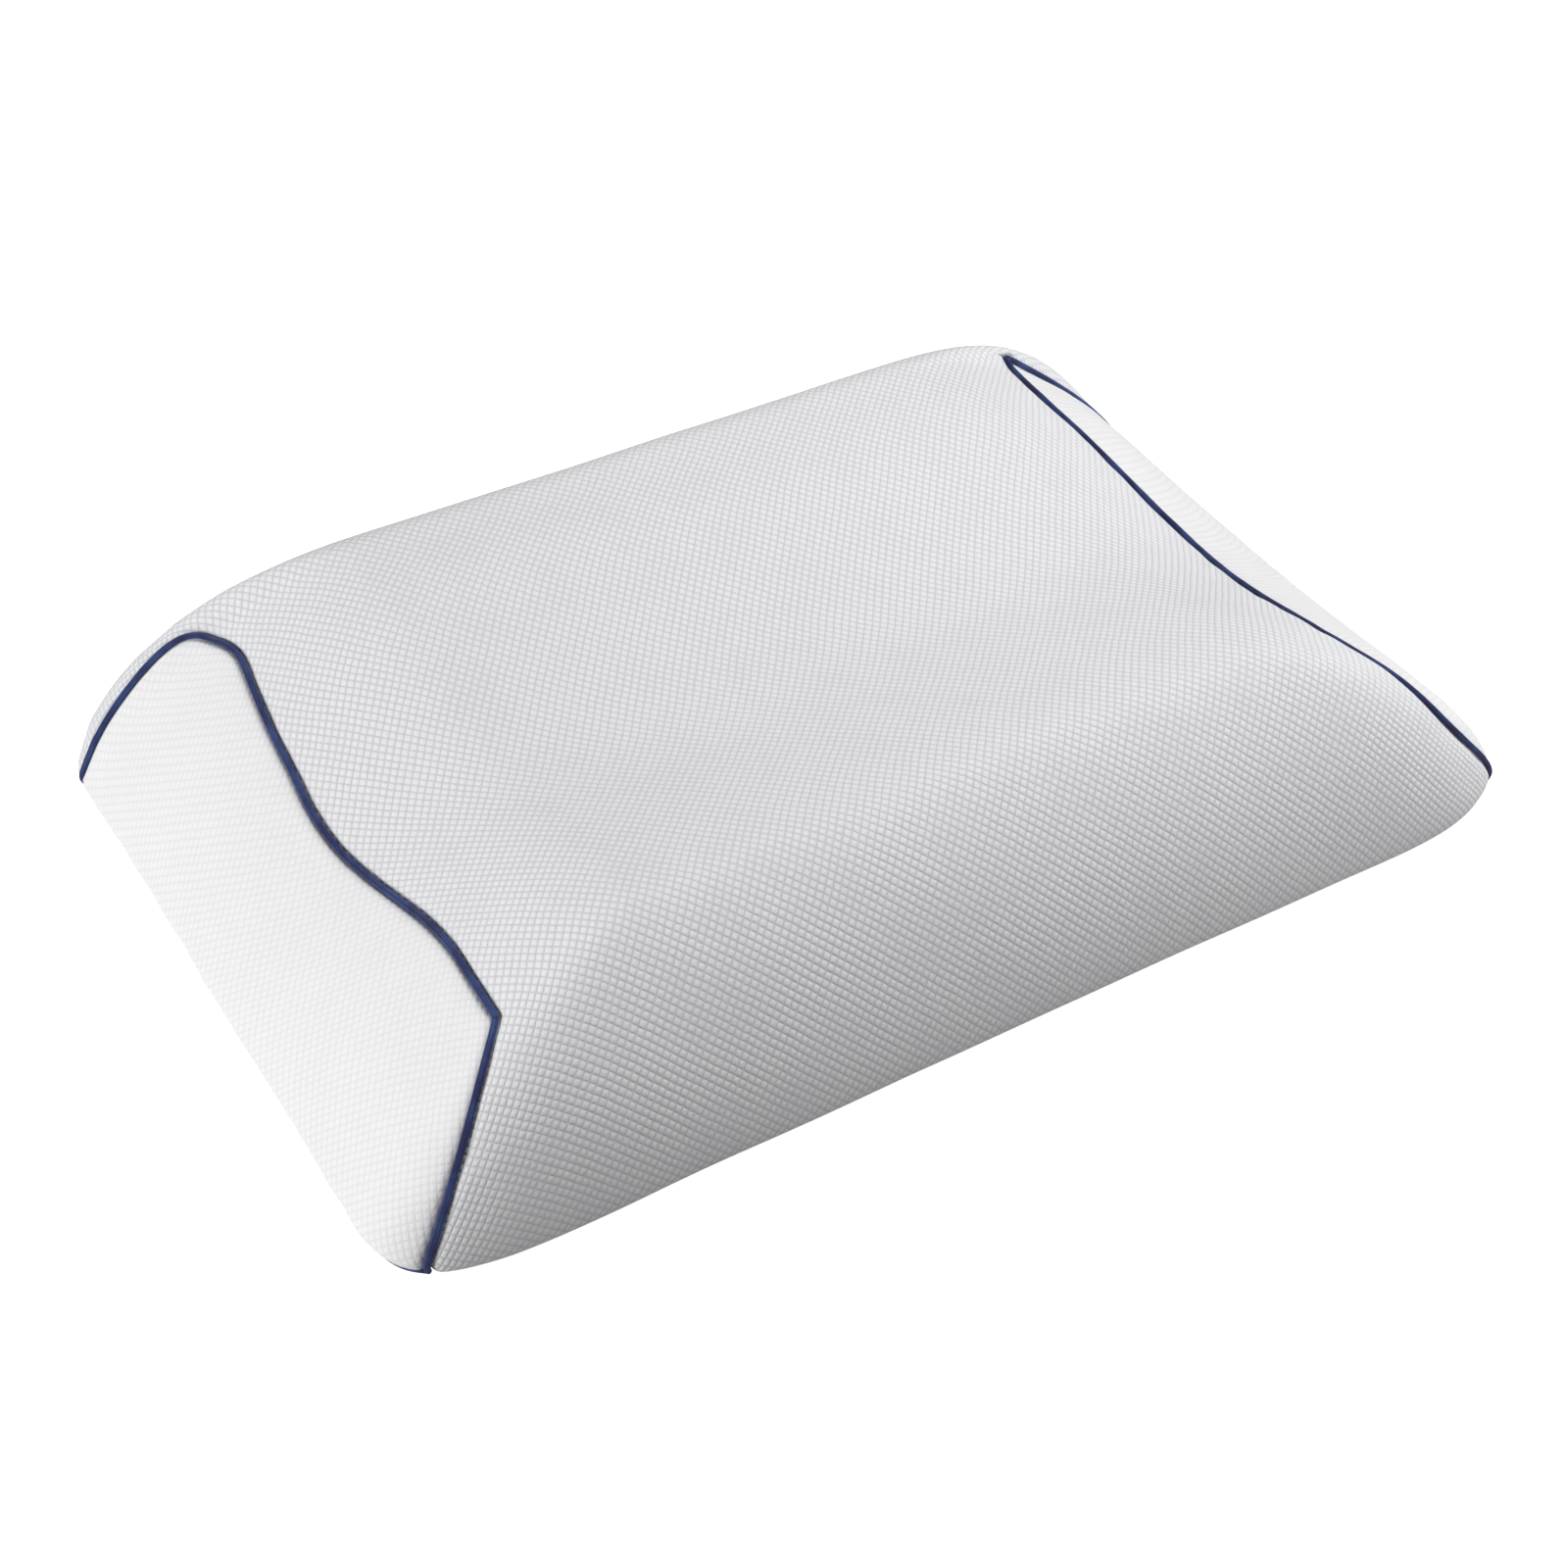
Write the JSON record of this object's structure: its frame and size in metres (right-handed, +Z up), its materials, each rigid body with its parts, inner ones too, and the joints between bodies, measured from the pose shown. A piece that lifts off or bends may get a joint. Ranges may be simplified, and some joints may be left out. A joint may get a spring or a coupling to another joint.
{
  "type": "cervical pillow",
  "caption": "Contoured neck pillow with a high and a lower lobe and a head dip between them, in a white knitted cover with piped end panels.",
  "frame": {"origin": "on the floor, under the middle of the pillow", "axes": "+X along the pillow, -Y towards the high lobe, +Z up"},
  "size_m": [0.6, 0.3808, 0.1027],
  "materials": {
    "wrap_knit": "white knitted jacquard with small raised diamonds",
    "panel_knit": "white knitted jacquard with small raised diamonds",
    "piping_navy": "matt navy-blue woven piping"
  },
  "bodies": {
    "root": {"pillow_body": "wrap_knit", "end_panel_left": "panel_knit", "end_panel_right": "panel_knit", "piping_left": "piping_navy", "piping_right": "piping_navy"}
  },
  "joints": []
}
